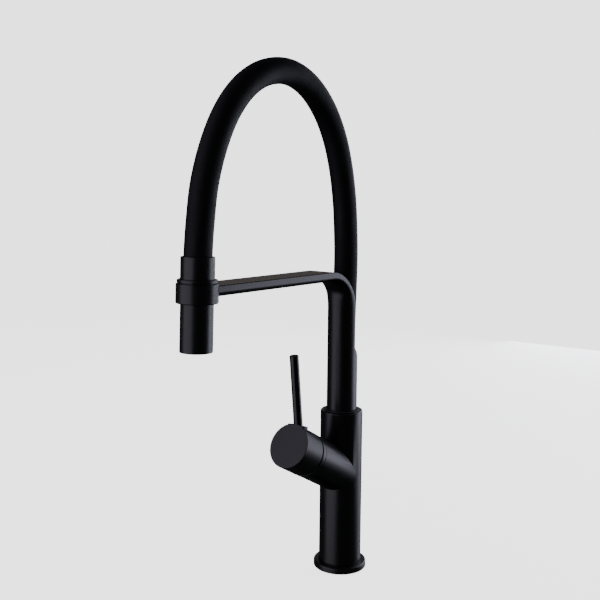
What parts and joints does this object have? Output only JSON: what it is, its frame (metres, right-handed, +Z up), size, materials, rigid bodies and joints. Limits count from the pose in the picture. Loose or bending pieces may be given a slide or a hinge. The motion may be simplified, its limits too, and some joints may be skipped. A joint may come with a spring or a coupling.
{
  "type": "pull-down kitchen faucet",
  "caption": "Black single-lever kitchen faucet with an angled valve, a swivelling open-backed spout arm and an arched hose to a pull-down spray head docked in a collar.",
  "frame": {"origin": "centre of the base, on the deck it stands on", "axes": "+Z up along the body and post, -Y along the arm towards the docked spray head, X across; the model is mirror symmetric about X = 0"},
  "size_m": [0.0562, 0.2638, 0.5303],
  "materials": {
    "black_coat": "satin",
    "black_silicone": "matte",
    "black_rubber": "matte",
    "brass": "satin",
    "steel": "satin",
    "white_plastic": "matte",
    "grey_plastic": "matte",
    "ceramic": "gloss"
  },
  "bodies": {
    "faucet": {"faucet_body": "black_coat", "base_flange": "black_coat", "base_gasket": "black_rubber", "base_plug": "brass", "lower_swivel_bush": "white_plastic", "upper_swivel_bush": "grey_plastic", "lower_swivel_seal": "black_rubber", "upper_swivel_seal": "black_rubber", "swivel_grub_screw": "steel", "cartridge_seal": "black_rubber", "cartridge_base": "white_plastic", "fixed_disc": "ceramic", "cartridge_housing": "white_plastic", "cartridge_nut": "brass", "bonnet_ring": "black_coat"},
    "cartridge_yoke": {"lever_carrier": "grey_plastic", "lever_pin": "steel"},
    "handle": {"cartridge_lever": "steel", "handle_cap": "black_coat", "lever_rod": "black_coat", "handle_grub_screw": "steel"},
    "disc": {"moving_disc": "ceramic", "disc_carrier": "white_plastic"},
    "spout": {"spout_arm": "black_coat", "docking_collar": "black_coat", "collar_liner": "black_coat", "hose_adapter": "brass", "post_retaining_ring": "steel", "hose_sleeve": "black_silicone", "support_spring": "steel", "inner_hose": "grey_plastic"},
    "hose_end": {"hose_end_fitting": "brass", "hose_end_seal": "black_rubber"},
    "head": {"head_upper_shell": "black_coat", "head_lower_shell": "black_coat", "check_valve": "white_plastic", "filter_washer": "black_rubber", "spray_core": "grey_plastic", "aerator_housing": "grey_plastic", "aerator_screen": "steel"}
  },
  "joints": [
    {"name": "handle_turn", "type": "hinge", "parent": "faucet", "child": "cartridge_yoke", "pos_m": [0, 0, 0.102], "axis": [0, -0.8746, 0.4848], "range_deg": [-50, 50]},
    {"name": "handle_lift", "type": "hinge", "parent": "cartridge_yoke", "child": "handle", "pos_m": [0, -0.04985, 0.12963], "axis": [1, 0, 0], "range_deg": [0, 22]},
    {"name": "disc_slide", "type": "slide", "parent": "cartridge_yoke", "child": "disc", "axis": [0, 0.4848, 0.8746], "range_m": [0, 0.0032]},
    {"name": "spout_swivel", "type": "hinge", "parent": "faucet", "child": "spout", "pos_m": [0, 0, 0], "axis": [0, 0, 1], "continuous": true},
    {"name": "head_pull", "type": "slide", "parent": "spout", "child": "hose_end", "axis": [0, -0.0244, -0.9997], "range_m": [0, 0.05], "deforming": ["hose_sleeve", "support_spring", "inner_hose"]},
    {"name": "head_spin", "type": "hinge", "parent": "hose_end", "child": "head", "pos_m": [0, -0.217, 0.3066], "axis": [0, 0.0244, 0.9997], "continuous": true}
  ],
  "couplings": [
    {"joint": "disc_slide", "follows": "handle_lift", "m_per_rad": 0.008}
  ]
}
